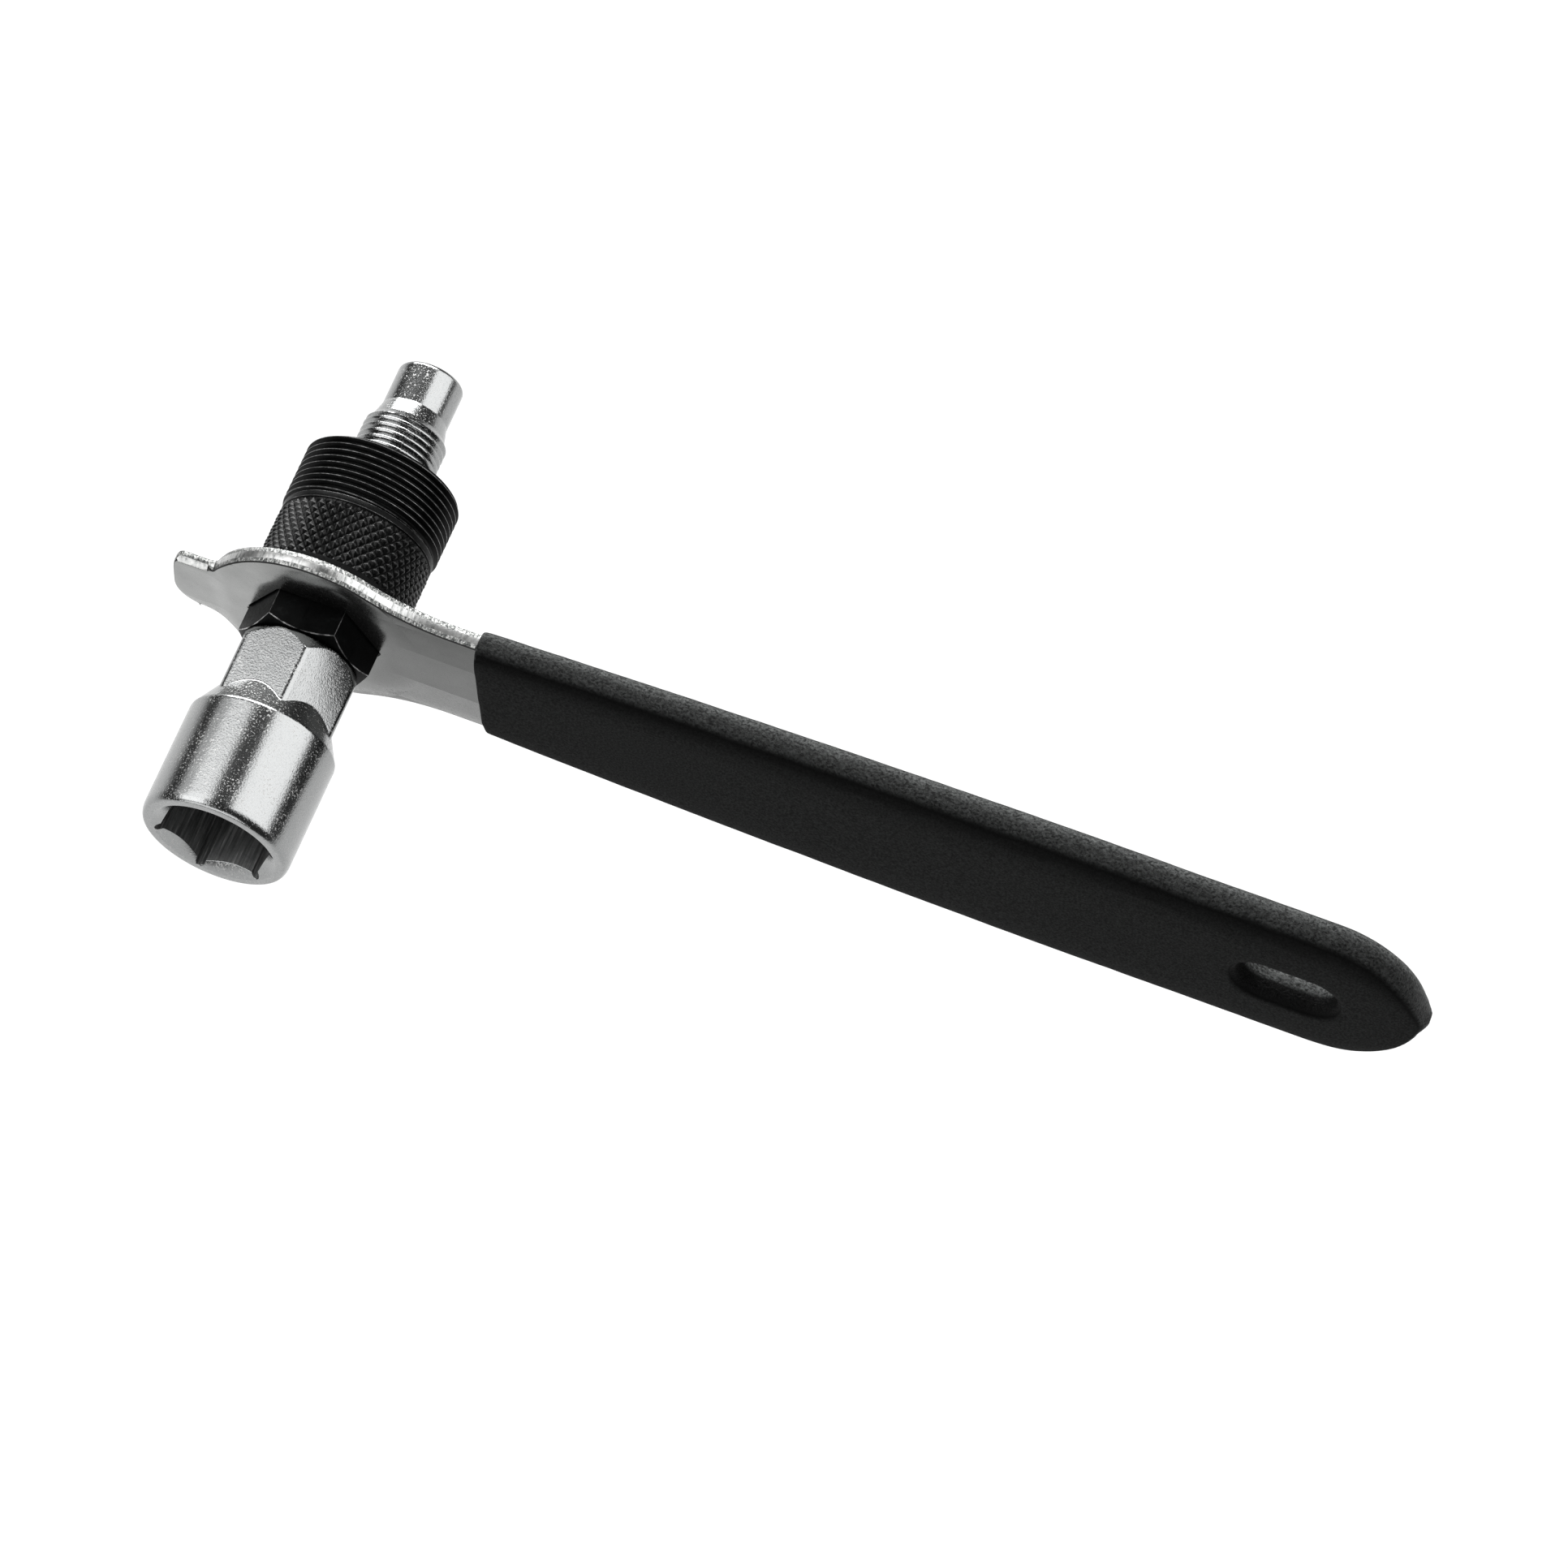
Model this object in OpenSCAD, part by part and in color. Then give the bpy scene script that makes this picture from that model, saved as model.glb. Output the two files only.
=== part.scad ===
// Crank puller with a captive two-way lever.
// The tool lies on its side: +X runs from the spindle to the end of the grip,
// +Y points out of the crank thread and +Z is up. The spindle's axis is the Y axis,
// and Y = 0 is the middle of the crank thread. All sizes are in millimetres.

/* [Puller body] */

// outside diameter of the thread that screws into the crank
crank_thread_d = 22; // [21:0.1:24]

// pitch of the crank thread
crank_thread_pitch = 1; // [0.8:0.05:1.25]

// number of ridges on the crank thread
crank_thread_ridges = 8; // [5:1:9]

// depth of the crank thread
crank_thread_depth = 0.55; // [0.3:0.05:0.6]

// chamfer round the end of the crank thread
crank_end_chamfer = 0.7; // [0.3:0.1:1]

// width of the plain collar between the crank thread and the knurl
collar_width = 1.1; // [0.6:0.1:1.6]

// length of the knurled barrel
knurl_length = 8.4; // [6:0.1:14]

// diameter of the knurled barrel over its points
knurl_d = 21.6; // [20.4:0.1:21.6]

// diameter of the plain collar, and of the plain land that the lever stops against
land_d = 21.2; // [20:0.1:22]

// length of that land
land_length = 3; // [1:0.1:4]

// width across the flats of the body's hexagon and of the spindle's hexagon
drive_hex_af = 16; // [14:0.1:16.4]

// length of the body's hexagon
body_hex_length = 7.05; // [6:0.05:10]

// slope of the chamfer on the corners of the body's hexagon
body_hex_chamfer_angle = 34; // [20:1:45]

// countersink at both ends of the body's bore
bore_chamfer = 0.6; // [0.3:0.1:1]

/* [Spindle] */

// outside diameter of the spindle's thread
spindle_thread_d = 11.7; // [10:0.1:12]

// pitch of the spindle's thread
spindle_thread_pitch = 1; // [0.8:0.05:1.25]

// depth of the spindle's thread
spindle_thread_depth = 0.5; // [0.3:0.05:0.6]

// diameter of the plain tip
tip_d = 9.26; // [8:0.02:9.6]

// length of the plain tip
tip_length = 6.4; // [4:0.1:8]

// length of the cone between the tip and the thread
tip_cone_length = 2.4; // [1.5:0.1:3]

// rounding cut on the end of the tip
tip_chamfer = 0.55; // [0.2:0.05:1]

// how far the tip stands out of the crank thread
tip_reach = 16.9; // [14:0.1:20]

// gap between the body's hexagon and the spindle's hexagon
hex_gap = 0.4; // [0.3:0.1:1]

// length of the steep cone on the spindle's hexagon, measured at a corner
hex_cone_length = 2.3; // [1.5:0.1:3]

// length of the spindle's hexagon at the middle of a flat
spindle_hex_length = 8.4; // [6:0.1:12]

// length of the shoulder between the hexagon and the socket
shoulder_length = 4.1; // [3:0.1:6]

// turn of the spindle about its axis
spindle_turn = 13.5; // [0:0.5:60]

// outside diameter of the socket
socket_d = 20.54; // [20:0.02:24]

// length of the round wall of the socket
socket_length = 16.2; // [14:0.1:22]

// rounding cut on the socket's end
socket_end_chamfer = 0.7; // [0.3:0.1:1]

// width across the flats of the hexagonal hole
nut_hex_af = 14; // [12:0.1:14.5]

// depth of the hexagonal hole
nut_hex_depth = 14.5; // [10:0.1:16]

// radius of the relief in each corner of the hexagonal hole
nut_corner_r = 0.45; // [0.3:0.05:0.6]

// lead-in chamfer at the mouth of the hexagonal hole
nut_mouth_chamfer = 0.5; // [0.2:0.1:0.8]

// turn of the hexagonal hole about the spindle's axis
nut_turn = 16.5; // [0:0.5:60]

/* [Lever] */

// thickness of the lever's plate
plate_t = 2.6; // [2:0.1:3]

// diameter of the lever's round head
head_d = 30.8; // [29:0.2:36]

// width of the shank between the head and the grip
shank_w = 21; // [16:0.2:22]

// radius of the hollow between the head and the shank
shank_blend_r = 25; // [20:1:30]

// how far the nose reaches from the spindle's axis
nose_reach = 20.3; // [19:0.1:24]

// width of the nose
nose_w = 11; // [9:0.2:12]

// thickness of the nose
nose_t = 1.5; // [1:0.1:1.8]

// rounding of the nose's lower corner
nose_corner_r = 3; // [1.5:0.1:4]

// radius of the hollow under the nose
nose_relief_r = 6.6; // [5:0.1:7]

// how far the middle of that hollow lies behind the nose's end
nose_relief_inset = 3.3; // [2.8:0.1:3.6]

// rounded-over edge on the face towards the socket
edge_bevel = 0.7; // [0.4:0.1:0.9]

// rounded-over edge on the face towards the crank thread
back_bevel = 0.3; // [0.2:0.1:0.5]

// free play round the body's hexagon, on each side
hex_play = 0.12; // [0.05:0.01:0.2]

// free play between the lever and the land
stop_play = 0.05; // [0.02:0.01:0.1]

// free play between the spindle's thread and the body's bore
spindle_play = 0.05; // [0.02:0.01:0.1]

/* [Grip] */

// where the grip starts, from the spindle's axis
grip_start = 22.9; // [22:0.1:40]

// centre of the grip's round end, from the spindle's axis
grip_end_centre = 139.9; // [120:0.1:170]

// thickness of the grip's skin beside the steel at its front
grip_front_skin = 0.6; // [0.4:0.1:1.5]

// thickness of the grip's skin beside the steel at its round end
grip_rear_skin = 1.4; // [1:0.1:2]

// width of the grip at its round end
grip_rear_w = 27.6; // [27.2:0.1:30]

// thickness of the grip's skin over each face of the steel at its front
grip_front_cover = 1.1; // [1:0.1:1.8]

// thickness of the grip's skin over each face of the steel at its round end
grip_rear_cover = 1.5; // [1.3:0.1:2.2]

// length of the small point on the grip's end
grip_nub = 0.7; // [0.3:0.1:1.5]

// length of the hanging slot
slot_length = 13.4; // [11:0.1:15]

// width of the hanging slot
slot_w = 6.8; // [5:0.1:7]

// how far the middle of the hanging slot lies before the centre of the round end
slot_inset = 3.9; // [3:0.1:6]

// thickness of the grip's skin inside the hanging slot
slot_skin = 1.2; // [0.8:0.1:1.5]

// free play between the grip and the steel inside it
grip_play = 0.05; // [0.02:0.01:0.1]

/* [Hidden] */

// a cut runs this far past the face that it opens
over = 1;
// small break on the edges of turned steps
edge_break = 0.2;
// how far inside the grip the bevelled shank turns into the plain tang
tang_step = 0.5;
// the drill's point at the bottom of the hexagonal hole
drill_point = 2.4;
round_fn = 96;
small_fn = 48;

// stations along the axis, counted from the end face of the crank thread towards the socket
thread_end = crank_end_chamfer + crank_thread_ridges * crank_thread_pitch;
knurl_start = thread_end + collar_width;
knurl_end = knurl_start + knurl_length;
land_end = knurl_end + land_length;
plate_top = land_end + stop_play;
plate_end = plate_top + plate_t;
plate_mid = plate_top + plate_t / 2;
body_end = land_end + body_hex_length;
hex_start = body_end + hex_gap;
hex_end = hex_start + spindle_hex_length;
socket_start = hex_end + shoulder_length;
socket_end = socket_start + socket_length;
thread_start = tip_length + tip_cone_length - tip_reach;

// the tool's origin is the middle of the crank thread
origin_station = (crank_end_chamfer + thread_end) / 2;

// the grip's outside, from the steel inside it and the grip's skin
grip_front_w = shank_w + 2 * grip_front_skin;
grip_front_t = plate_t + 2 * grip_front_cover;
grip_rear_t = plate_t + 2 * grip_rear_cover;
tang_half_w = grip_rear_w / 2 - grip_rear_skin;

crank_r = crank_thread_d / 2;
knurl_r = knurl_d / 2;
land_r = land_d / 2;
hex_r = drive_hex_af / 2;
hex_corner_r = drive_hex_af / sqrt(3);
spindle_r = spindle_thread_d / 2;
bore_r = spindle_r + spindle_play;
socket_r = socket_d / 2;
tip_r = tip_d / 2;
head_r = head_d / 2;
nut_corner = nut_hex_af / sqrt(3);

// slope of the spindle's upper cone, as radius for length
cone_slope = (hex_corner_r - hex_r) / hex_cone_length;

// one V-shaped ridge after another, as [radius, station] pairs
crest_half = 0.1;
function ridges(r, depth, pitch, start, count) = [
    for (i = [0 : count - 1])
    for (p = [
        [r, start + (i + 0.5 - crest_half) * pitch],
        [r, start + (i + 0.5 + crest_half) * pitch],
        [r - depth, start + (i + 1) * pitch]
    ]) p
];

// a point of the local frame has its station along +Z, which the tool lays along -Y
module lay() {
    rotate([90, 0, 0])
    translate([0, 0, -origin_station])
    children();
}

module turned(profile) {
    rotate_extrude($fn = round_fn)
    polygon(profile);
}

// a hexagonal bar with a corner on the X axis
module hex_bar(af, length) {
    cylinder(d = af * 2 / sqrt(3), h = length, $fn = 6);
}

module puller_body() {
    chamfer_height = (hex_corner_r - hex_r) * tan(body_hex_chamfer_angle);
    color([0.10, 0.10, 0.11])
    lay()
    difference() {
        union() {
            turned(concat(
                [[0, 0], [crank_r - crank_thread_depth - edge_break, 0]],
                [[crank_r - crank_thread_depth, crank_end_chamfer]],
                ridges(crank_r, crank_thread_depth, crank_thread_pitch,
                       crank_end_chamfer, crank_thread_ridges),
                [[land_r, thread_end + edge_break], [land_r, knurl_start]],
                [[knurl_r, knurl_start + edge_break], [knurl_r, knurl_end - edge_break]],
                [[land_r, knurl_end], [land_r, land_end], [0, land_end]]
            ));
            intersection() {
                translate([0, 0, land_end - over])
                hex_bar(drive_hex_af, body_hex_length + over);
                turned([
                    [0, land_end - over],
                    [hex_corner_r + over, land_end - over],
                    [hex_corner_r + over, body_end - chamfer_height
                        - over * tan(body_hex_chamfer_angle)],
                    [hex_r, body_end],
                    [0, body_end]
                ]);
            }
        }
        translate([0, 0, -over])
        cylinder(r = bore_r, h = body_end + 2 * over, $fn = round_fn);
        turned([
            [0, -over],
            [bore_r + bore_chamfer + over, -over],
            [bore_r - over, bore_chamfer + over],
            [0, bore_chamfer + over]
        ]);
        turned([
            [0, body_end + over],
            [bore_r + bore_chamfer + over, body_end + over],
            [bore_r - over, body_end - bore_chamfer - over],
            [0, body_end - bore_chamfer - over]
        ]);
    }
}

module nut_hole() {
    // how far each corner relief sits inside the corner, as a share of its radius
    relief_share = 0.6;
    mouth_r = nut_corner + nut_mouth_chamfer;
    mouth_run = nut_hex_af / 6;
    translate([0, 0, socket_end - nut_hex_depth])
    rotate([0, 0, 90 - nut_turn])
    hex_bar(nut_hex_af, nut_hex_depth + over);
    for (i = [0 : 5])
        rotate([0, 0, 90 - nut_turn + 60 * i])
        translate([nut_corner - nut_corner_r * relief_share, 0, socket_end - nut_hex_depth + over])
        cylinder(r = nut_corner_r, h = nut_hex_depth, $fn = small_fn);
    turned([
        [0, socket_end + over],
        [mouth_r + over, socket_end + over],
        [mouth_r - mouth_run, socket_end - mouth_run],
        [0, socket_end - mouth_run]
    ]);
    turned([
        [0, socket_end - nut_hex_depth - drill_point],
        [nut_hex_af / 2 - edge_break, socket_end - nut_hex_depth],
        [nut_hex_af / 2 - edge_break, socket_end - nut_hex_depth + over],
        [0, socket_end - nut_hex_depth + over]
    ]);
}

module spindle() {
    // where the middle facet of a rounded corner starts, as a share of the rounding
    soft = 0.3;
    neck_r = spindle_r - spindle_thread_depth;
    thread_count = floor((body_end - thread_start) / spindle_thread_pitch);
    color([0.80, 0.81, 0.83])
    lay()
    difference() {
        union() {
            turned(concat(
                [[0, -tip_reach]],
                [[tip_r - tip_chamfer, -tip_reach]],
                [[tip_r - tip_chamfer * soft, -tip_reach + tip_chamfer * soft]],
                [[tip_r, -tip_reach + tip_chamfer]],
                [[tip_r, tip_length - tip_reach]],
                [[neck_r, thread_start]],
                ridges(spindle_r, spindle_thread_depth, spindle_thread_pitch,
                       thread_start, thread_count),
                [[neck_r, hex_start + over], [0, hex_start + over]]
            ));
            intersection() {
                translate([0, 0, hex_start])
                rotate([0, 0, 90 - spindle_turn])
                hex_bar(drive_hex_af, socket_start - hex_start);
                turned([
                    [0, hex_start],
                    [hex_r, hex_start],
                    [hex_r + cone_slope * 2 * hex_cone_length, hex_start + 2 * hex_cone_length],
                    [hex_r + cone_slope * 2 * hex_cone_length, socket_start],
                    [0, socket_start]
                ]);
            }
            turned([
                [0, hex_end],
                [hex_r, hex_end],
                [socket_r - edge_break, socket_start - edge_break],
                [socket_r, socket_start + edge_break],
                [socket_r, socket_end - socket_end_chamfer],
                [socket_r - socket_end_chamfer * soft, socket_end - socket_end_chamfer * soft],
                [socket_r - socket_end_chamfer, socket_end],
                [0, socket_end]
            ]);
        }
        nut_hole();
    }
}

// the tang inside the grip, widened by the play where the grip is cut for it
tang_start = grip_start + tang_step;
tang_end = grip_end_centre;
tang_full_x = grip_start + 6 * tang_step;
module tang_outline(start, play) {
    difference() {
        union() {
            polygon([
                [start, -shank_w / 2 - play],
                [tang_full_x, -shank_w / 2 - play],
                [tang_end, -tang_half_w - play],
                [tang_end, tang_half_w + play],
                [tang_full_x, shank_w / 2 + play],
                [start, shank_w / 2 + play]
            ]);
            translate([tang_end, 0])
            circle(r = tang_half_w + play, $fn = round_fn);
        }
        slot_outline(slot_skin - play);
    }
}

slot_centre = grip_end_centre - slot_inset;
module slot_outline(grow) {
    r = slot_w / 2 + grow;
    run = slot_length / 2 - slot_w / 2;
    translate([slot_centre - run, 0])
    circle(r = r, $fn = small_fn);
    translate([slot_centre + run, 0])
    circle(r = r, $fn = small_fn);
    translate([slot_centre - run, -r])
    square([2 * run, 2 * r]);
}

// where the hollow between the head and the shank starts and ends
blend_x = sqrt(pow(head_r + shank_blend_r, 2) - pow(shank_w / 2 + shank_blend_r, 2));
blend_z = shank_w / 2 + shank_blend_r;
blend_angle = atan2(blend_z, blend_x);
relief_x = -nose_reach + nose_relief_inset;
relief_z = -nose_w / 2 - nose_relief_r;

module plate_outline() {
    difference() {
        union() {
            circle(r = head_r, $fn = round_fn * 2);
            difference() {
                translate([0, -blend_z])
                square([blend_x, 2 * blend_z]);
                for (side = [-1, 1])
                    translate([blend_x, side * blend_z])
                    circle(r = shank_blend_r, $fn = round_fn * 2);
                translate([-over, head_r])
                square([head_r, blend_z]);
                translate([-over, -head_r - blend_z])
                square([head_r, blend_z]);
            }
            translate([blend_x, -shank_w / 2])
            square([tang_start - blend_x + over, shank_w]);
        }
        translate([relief_x, relief_z])
        circle(r = nose_relief_r, $fn = round_fn);
    }
}

// the nose runs this far into the head
nose_root = 3;
module nose_outline() {
    inner_x = -head_r + nose_root;
    difference() {
        union() {
            translate([-nose_reach + nose_corner_r, -nose_w / 2])
            square([inner_x + nose_reach - nose_corner_r, nose_w]);
            translate([-nose_reach, -nose_w / 2 + nose_corner_r])
            square([nose_corner_r + over, nose_w - nose_corner_r]);
            translate([-nose_reach + nose_corner_r, -nose_w / 2 + nose_corner_r])
            circle(r = nose_corner_r, $fn = small_fn);
        }
        translate([relief_x, relief_z])
        circle(r = nose_relief_r, $fn = round_fn);
    }
}

// three-sided cutters that take the bevel off an edge; b is the bevel on the lower face of
// the section, and the section lies at x = 0 with the material on the side of -x
module bevel_section(b, face, out) {
    polygon([[-b, face], [b, face + out * 2 * b], [b, face - out * 2 * b], [0, face - out * b]]);
}

module edge_cut(r, from, sweep, inward) {
    for (f = [[edge_bevel, plate_t, 1], [back_bevel, 0, -1]])
        rotate([0, 0, from])
        rotate_extrude(angle = sweep, $fn = round_fn * 2)
        translate([r, 0])
        mirror([inward ? 1 : 0, 0])
        bevel_section(f[0], f[1], f[2]);
}

module straight_cut(x, z, length, side) {
    for (f = [[edge_bevel, plate_t, 1], [back_bevel, 0, -1]])
        translate([x, z, 0])
        rotate([90, 0, 90])
        linear_extrude(length)
        mirror([side < 0 ? 1 : 0, 0])
        bevel_section(f[0], f[1], f[2]);
}

// the bevels stop short of the corner between the head and the hollow under the nose
cusp_angle = 232;
relief_bevel_start = 14;
module lever() {
    notch_angle = 180 - asin(nose_w / 2 / head_r);
    sweep = notch_angle - blend_angle;
    color([0.72, 0.72, 0.72])
    lay()
    translate([0, 0, plate_top])
    difference() {
        union() {
            difference() {
                linear_extrude(plate_t)
                plate_outline();
                edge_cut(head_r, blend_angle, sweep, false);
                edge_cut(head_r, cusp_angle, 360 - blend_angle - cusp_angle, false);
                translate([blend_x, blend_z, 0])
                edge_cut(shank_blend_r, 180 + blend_angle, 90 - blend_angle, true);
                translate([blend_x, -blend_z, 0])
                edge_cut(shank_blend_r, 90, 90 - blend_angle, true);
                straight_cut(blend_x, shank_w / 2, tang_start + over - blend_x, 1);
                straight_cut(blend_x, -shank_w / 2, tang_start + over - blend_x, -1);
                translate([relief_x, relief_z, 0])
                edge_cut(nose_relief_r, relief_bevel_start, 90 - relief_bevel_start, true);
            }
            translate([0, 0, (plate_t - nose_t) / 2])
            linear_extrude(nose_t)
            nose_outline();
            linear_extrude(plate_t)
            tang_outline(tang_start, 0);
        }
        translate([0, 0, -over])
        hex_bar(drive_hex_af + 2 * hex_play, plate_t + 2 * over);
    }
}

// rounding of the grip's front edge
front_edge = 0.9;
// the grip widens over this share of its length, and by this power
flare_share = 0.72;
flare_power = 1.7;
// what is left of the grip's thickness at the tip of its round end
tip_t_share = 0.42;
tip_t_power = 3;
end_r = grip_rear_w / 2;

// half the width and half the thickness of the grip at a station along it
function grow(x) = min(1, (x - grip_start) / (flare_share * (grip_end_centre - grip_start)));
function flare(x) = 1 - pow(1 - grow(x), flare_power);
function past(x) = max(0, (x - grip_end_centre) / end_r);
function front_in(x) = x > grip_start + front_edge ? 0
    : front_edge - sqrt(max(0, pow(front_edge, 2) - pow(grip_start + front_edge - x, 2)));
function grip_half_w(x) = (grip_front_w + (grip_rear_w - grip_front_w) * flare(x)) / 2
    * sqrt(max(0, 1 - pow(past(x), 2))) - front_in(x);
function grip_half_t(x) = (grip_front_t + (grip_rear_t - grip_front_t) * flare(x)) / 2
    * (tip_t_share + (1 - tip_t_share) * sqrt(max(0, 1 - pow(past(x), tip_t_power)))) - front_in(x);

// the section is a flat oval: straight faces with fully rounded edges
section_n = 32;
width_power = 0.42;
thick_power = 0.62;
function bow(v, p) = sign(v) * pow(abs(v), p);
function section_point(x, w, t, i) = let (a = 360 * (i + 0.5) / section_n)
    [x, w * bow(cos(a), width_power), plate_mid + t * bow(sin(a), thick_power)];

// sections round the front edge, along the length and round the end
front_n = 3;
along_n = 12;
end_n = 11;
end_step = 7.6;
plain_start = grip_start + front_edge;
grip_stations = concat(
    [for (k = [0 : front_n]) grip_start + front_edge * (1 - cos(90 * k / front_n))],
    [for (k = [1 : along_n]) plain_start + (grip_end_centre - plain_start) * k / along_n],
    [for (k = [1 : end_n]) grip_end_centre + end_r * sin(end_step * k)]
);
grip_count = len(grip_stations);
// the point on the grip's end sits a little above its middle
nub_up = 0.8;
grip_points = concat(
    [for (x = grip_stations) for (i = [0 : section_n - 1])
        section_point(x, grip_half_w(x), grip_half_t(x), i)],
    [[grip_start, 0, plate_mid], [grip_end_centre + end_r + grip_nub, nub_up, plate_mid]]
);
front_centre = grip_count * section_n;
nub_point = front_centre + 1;
grip_faces = concat(
    [for (s = [0 : grip_count - 2]) for (i = [0 : section_n - 1])
        [s * section_n + i, s * section_n + (i + 1) % section_n,
         (s + 1) * section_n + (i + 1) % section_n]],
    [for (s = [0 : grip_count - 2]) for (i = [0 : section_n - 1])
        [s * section_n + i, (s + 1) * section_n + (i + 1) % section_n, (s + 1) * section_n + i]],
    [for (i = [0 : section_n - 1]) [front_centre, (i + 1) % section_n, i]],
    [for (i = [0 : section_n - 1])
        [nub_point, (grip_count - 1) * section_n + i, (grip_count - 1) * section_n + (i + 1) % section_n]]
);

module grip() {
    color([0.16, 0.16, 0.17])
    lay()
    difference() {
        polyhedron(points = grip_points, faces = grip_faces, convexity = 4);
        translate([0, 0, plate_top - grip_play])
        linear_extrude(plate_t + 2 * grip_play)
        tang_outline(grip_start - over, grip_play);
        translate([0, 0, plate_top - grip_rear_t])
        linear_extrude(plate_t + 2 * grip_rear_t)
        slot_outline(0);
    }
}

puller_body();
spindle();
lever();
grip();
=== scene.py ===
"""Looks of the crank puller: meshes for its four pieces, their materials, light and camera."""
import math

import bmesh
import bpy
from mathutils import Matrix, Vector, geometry, noise


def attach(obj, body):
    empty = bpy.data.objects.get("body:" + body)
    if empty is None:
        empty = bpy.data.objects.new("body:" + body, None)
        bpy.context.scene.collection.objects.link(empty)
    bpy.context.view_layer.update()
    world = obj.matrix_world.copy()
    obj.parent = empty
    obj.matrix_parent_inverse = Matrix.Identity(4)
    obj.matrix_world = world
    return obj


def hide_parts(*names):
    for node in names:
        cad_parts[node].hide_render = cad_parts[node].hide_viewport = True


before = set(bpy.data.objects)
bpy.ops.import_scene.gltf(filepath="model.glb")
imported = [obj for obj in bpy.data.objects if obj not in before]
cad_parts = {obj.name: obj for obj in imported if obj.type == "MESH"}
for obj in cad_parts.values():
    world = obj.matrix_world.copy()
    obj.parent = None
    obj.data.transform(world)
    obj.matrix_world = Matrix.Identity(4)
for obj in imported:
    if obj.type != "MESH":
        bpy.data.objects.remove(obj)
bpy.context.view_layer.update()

MM = 0.001
TAU = 2 * math.pi
# the end face of the crank thread stands this far out of the origin, in mm
ORIGIN = 4.7
# the lever's plate, in mm from that end face: its face on the barrel's side, thickness, middle
PLATE_TOP = 21.25
PLATE_T = 2.6
PLATE_MID = PLATE_TOP + PLATE_T / 2
# along x: the grip's open end, the start of its round end, and the middle of its hanging slot,
# with half the slot's straight run and half its width
GRIP_START = 22.9
GRIP_END = 139.9
SLOT_X = GRIP_END - 4.3
SLOT_RUN = 3.0
SLOT_R = 3.4


def at(x, station, z):
    """A point given in mm: x, distance from the crank thread's end face, height."""
    return (x * MM, (ORIGIN - station) * MM, z * MM)


def around(angle, radius, station):
    """A point on the spindle's axis system; the angle runs from straight up towards +X."""
    return at(radius * math.sin(angle), station, radius * math.cos(angle))


def smoothstep(low, high, value):
    """0 at low and 1 at high with a soft bend at both; low may be the larger one."""
    t = min(1.0, max(0.0, (value - low) / (high - low)))
    return t * t * (3 - 2 * t)


# ---------- meshes ----------

def new_object(name, shell, materials, sharp=32, weld=2e-6):
    """An object from a shell, with its points welded and its faces turned outwards."""
    mesh = bpy.data.meshes.new(name)
    mesh.from_pydata(shell.verts, [], shell.faces)
    for mat in materials:
        mesh.materials.append(mat)
    mesh.polygons.foreach_set("material_index", shell.picks)
    bm = bmesh.new()
    bm.from_mesh(mesh)
    bmesh.ops.remove_doubles(bm, verts=bm.verts, dist=weld)
    bmesh.ops.recalc_face_normals(bm, faces=bm.faces)
    bm.to_mesh(mesh)
    bm.free()
    mesh.shade_smooth()
    mesh.set_sharp_from_angle(angle=math.radians(sharp))
    obj = bpy.data.objects.new(name, mesh)
    bpy.context.scene.collection.objects.link(obj)
    return obj


class Shell:
    """Collects points, the faces between them and the place of each face's material."""

    def __init__(self):
        self.verts = []
        self.faces = []
        self.picks = []

    def grid(self, columns, closed=True, pick=None):
        """columns holds one list of points for each step round; pick(row, column) gives the
        place of the material."""
        start = len(self.verts)
        rows = len(columns[0])
        for column in columns:
            self.verts.extend(column)
        count = len(columns)
        for j in range(count if closed else count - 1):
            here = start + j * rows
            there = start + ((j + 1) % count) * rows
            for k in range(rows - 1):
                self.faces.append((here + k, there + k, there + k + 1, here + k + 1))
                self.picks.append(pick(k, j) if pick else 0)


def arc(cx, cz, r, start, end, count):
    """Points on an arc; angles in degrees."""
    turns = [math.radians(start + (end - start) * k / count) for k in range(count + 1)]
    return [(cx + r * math.cos(a), cz + r * math.sin(a)) for a in turns]


# columns of a turned shape
ROUND_STEPS = 144


def even_angles(offset=0.0):
    """The angles of those columns."""
    return [offset + TAU * k / ROUND_STEPS for k in range(ROUND_STEPS)]


def with_corners(angles, first_corner, extra_degrees):
    """The angles, and more of them near the six corners of a hexagon."""
    more = {round(a % TAU, 7) for a in angles}
    for k in range(6):
        for e in extra_degrees:
            for sign in (-1, 1):
                more.add(round((first_corner + TAU * k / 6 + sign * math.radians(e)) % TAU, 7))
    return sorted(more)


def corner_angle(angle, first_corner):
    """How far an angle is from the nearest corner of a hexagon; negative before the corner."""
    step = TAU / 6
    return (angle - first_corner + step / 2) % step - step / 2


def hexagon_radius(angle, flat, first_corner, rounding):
    """Radius of a hexagonal bar with rounded corners; flat is half its width across flats."""
    e = abs(corner_angle(angle, first_corner))
    centre = (flat - rounding) / math.cos(TAU / 12)
    reach = math.atan2(rounding * 0.5, centre + rounding * math.cos(TAU / 12))
    if e < reach:
        aside = centre * math.sin(e)
        return centre * math.cos(e) + math.sqrt(max(0.0, rounding ** 2 - aside ** 2))
    return flat / math.cos(TAU / 12 - e)


# both threads have this pitch in mm
PITCH = 1.0
# one pitch of the body's V thread: (share of the pitch, share of the depth below the crest)
RIDGE = ((0.0, 1.0), (0.07, 0.97), (0.18, 0.72), (0.40, 0.12), (0.45, 0.0), (0.55, 0.0),
         (0.60, 0.12), (0.82, 0.72), (0.93, 0.97))
# the row of faces on the flat of its crest
CREST_ROW = 4
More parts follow.
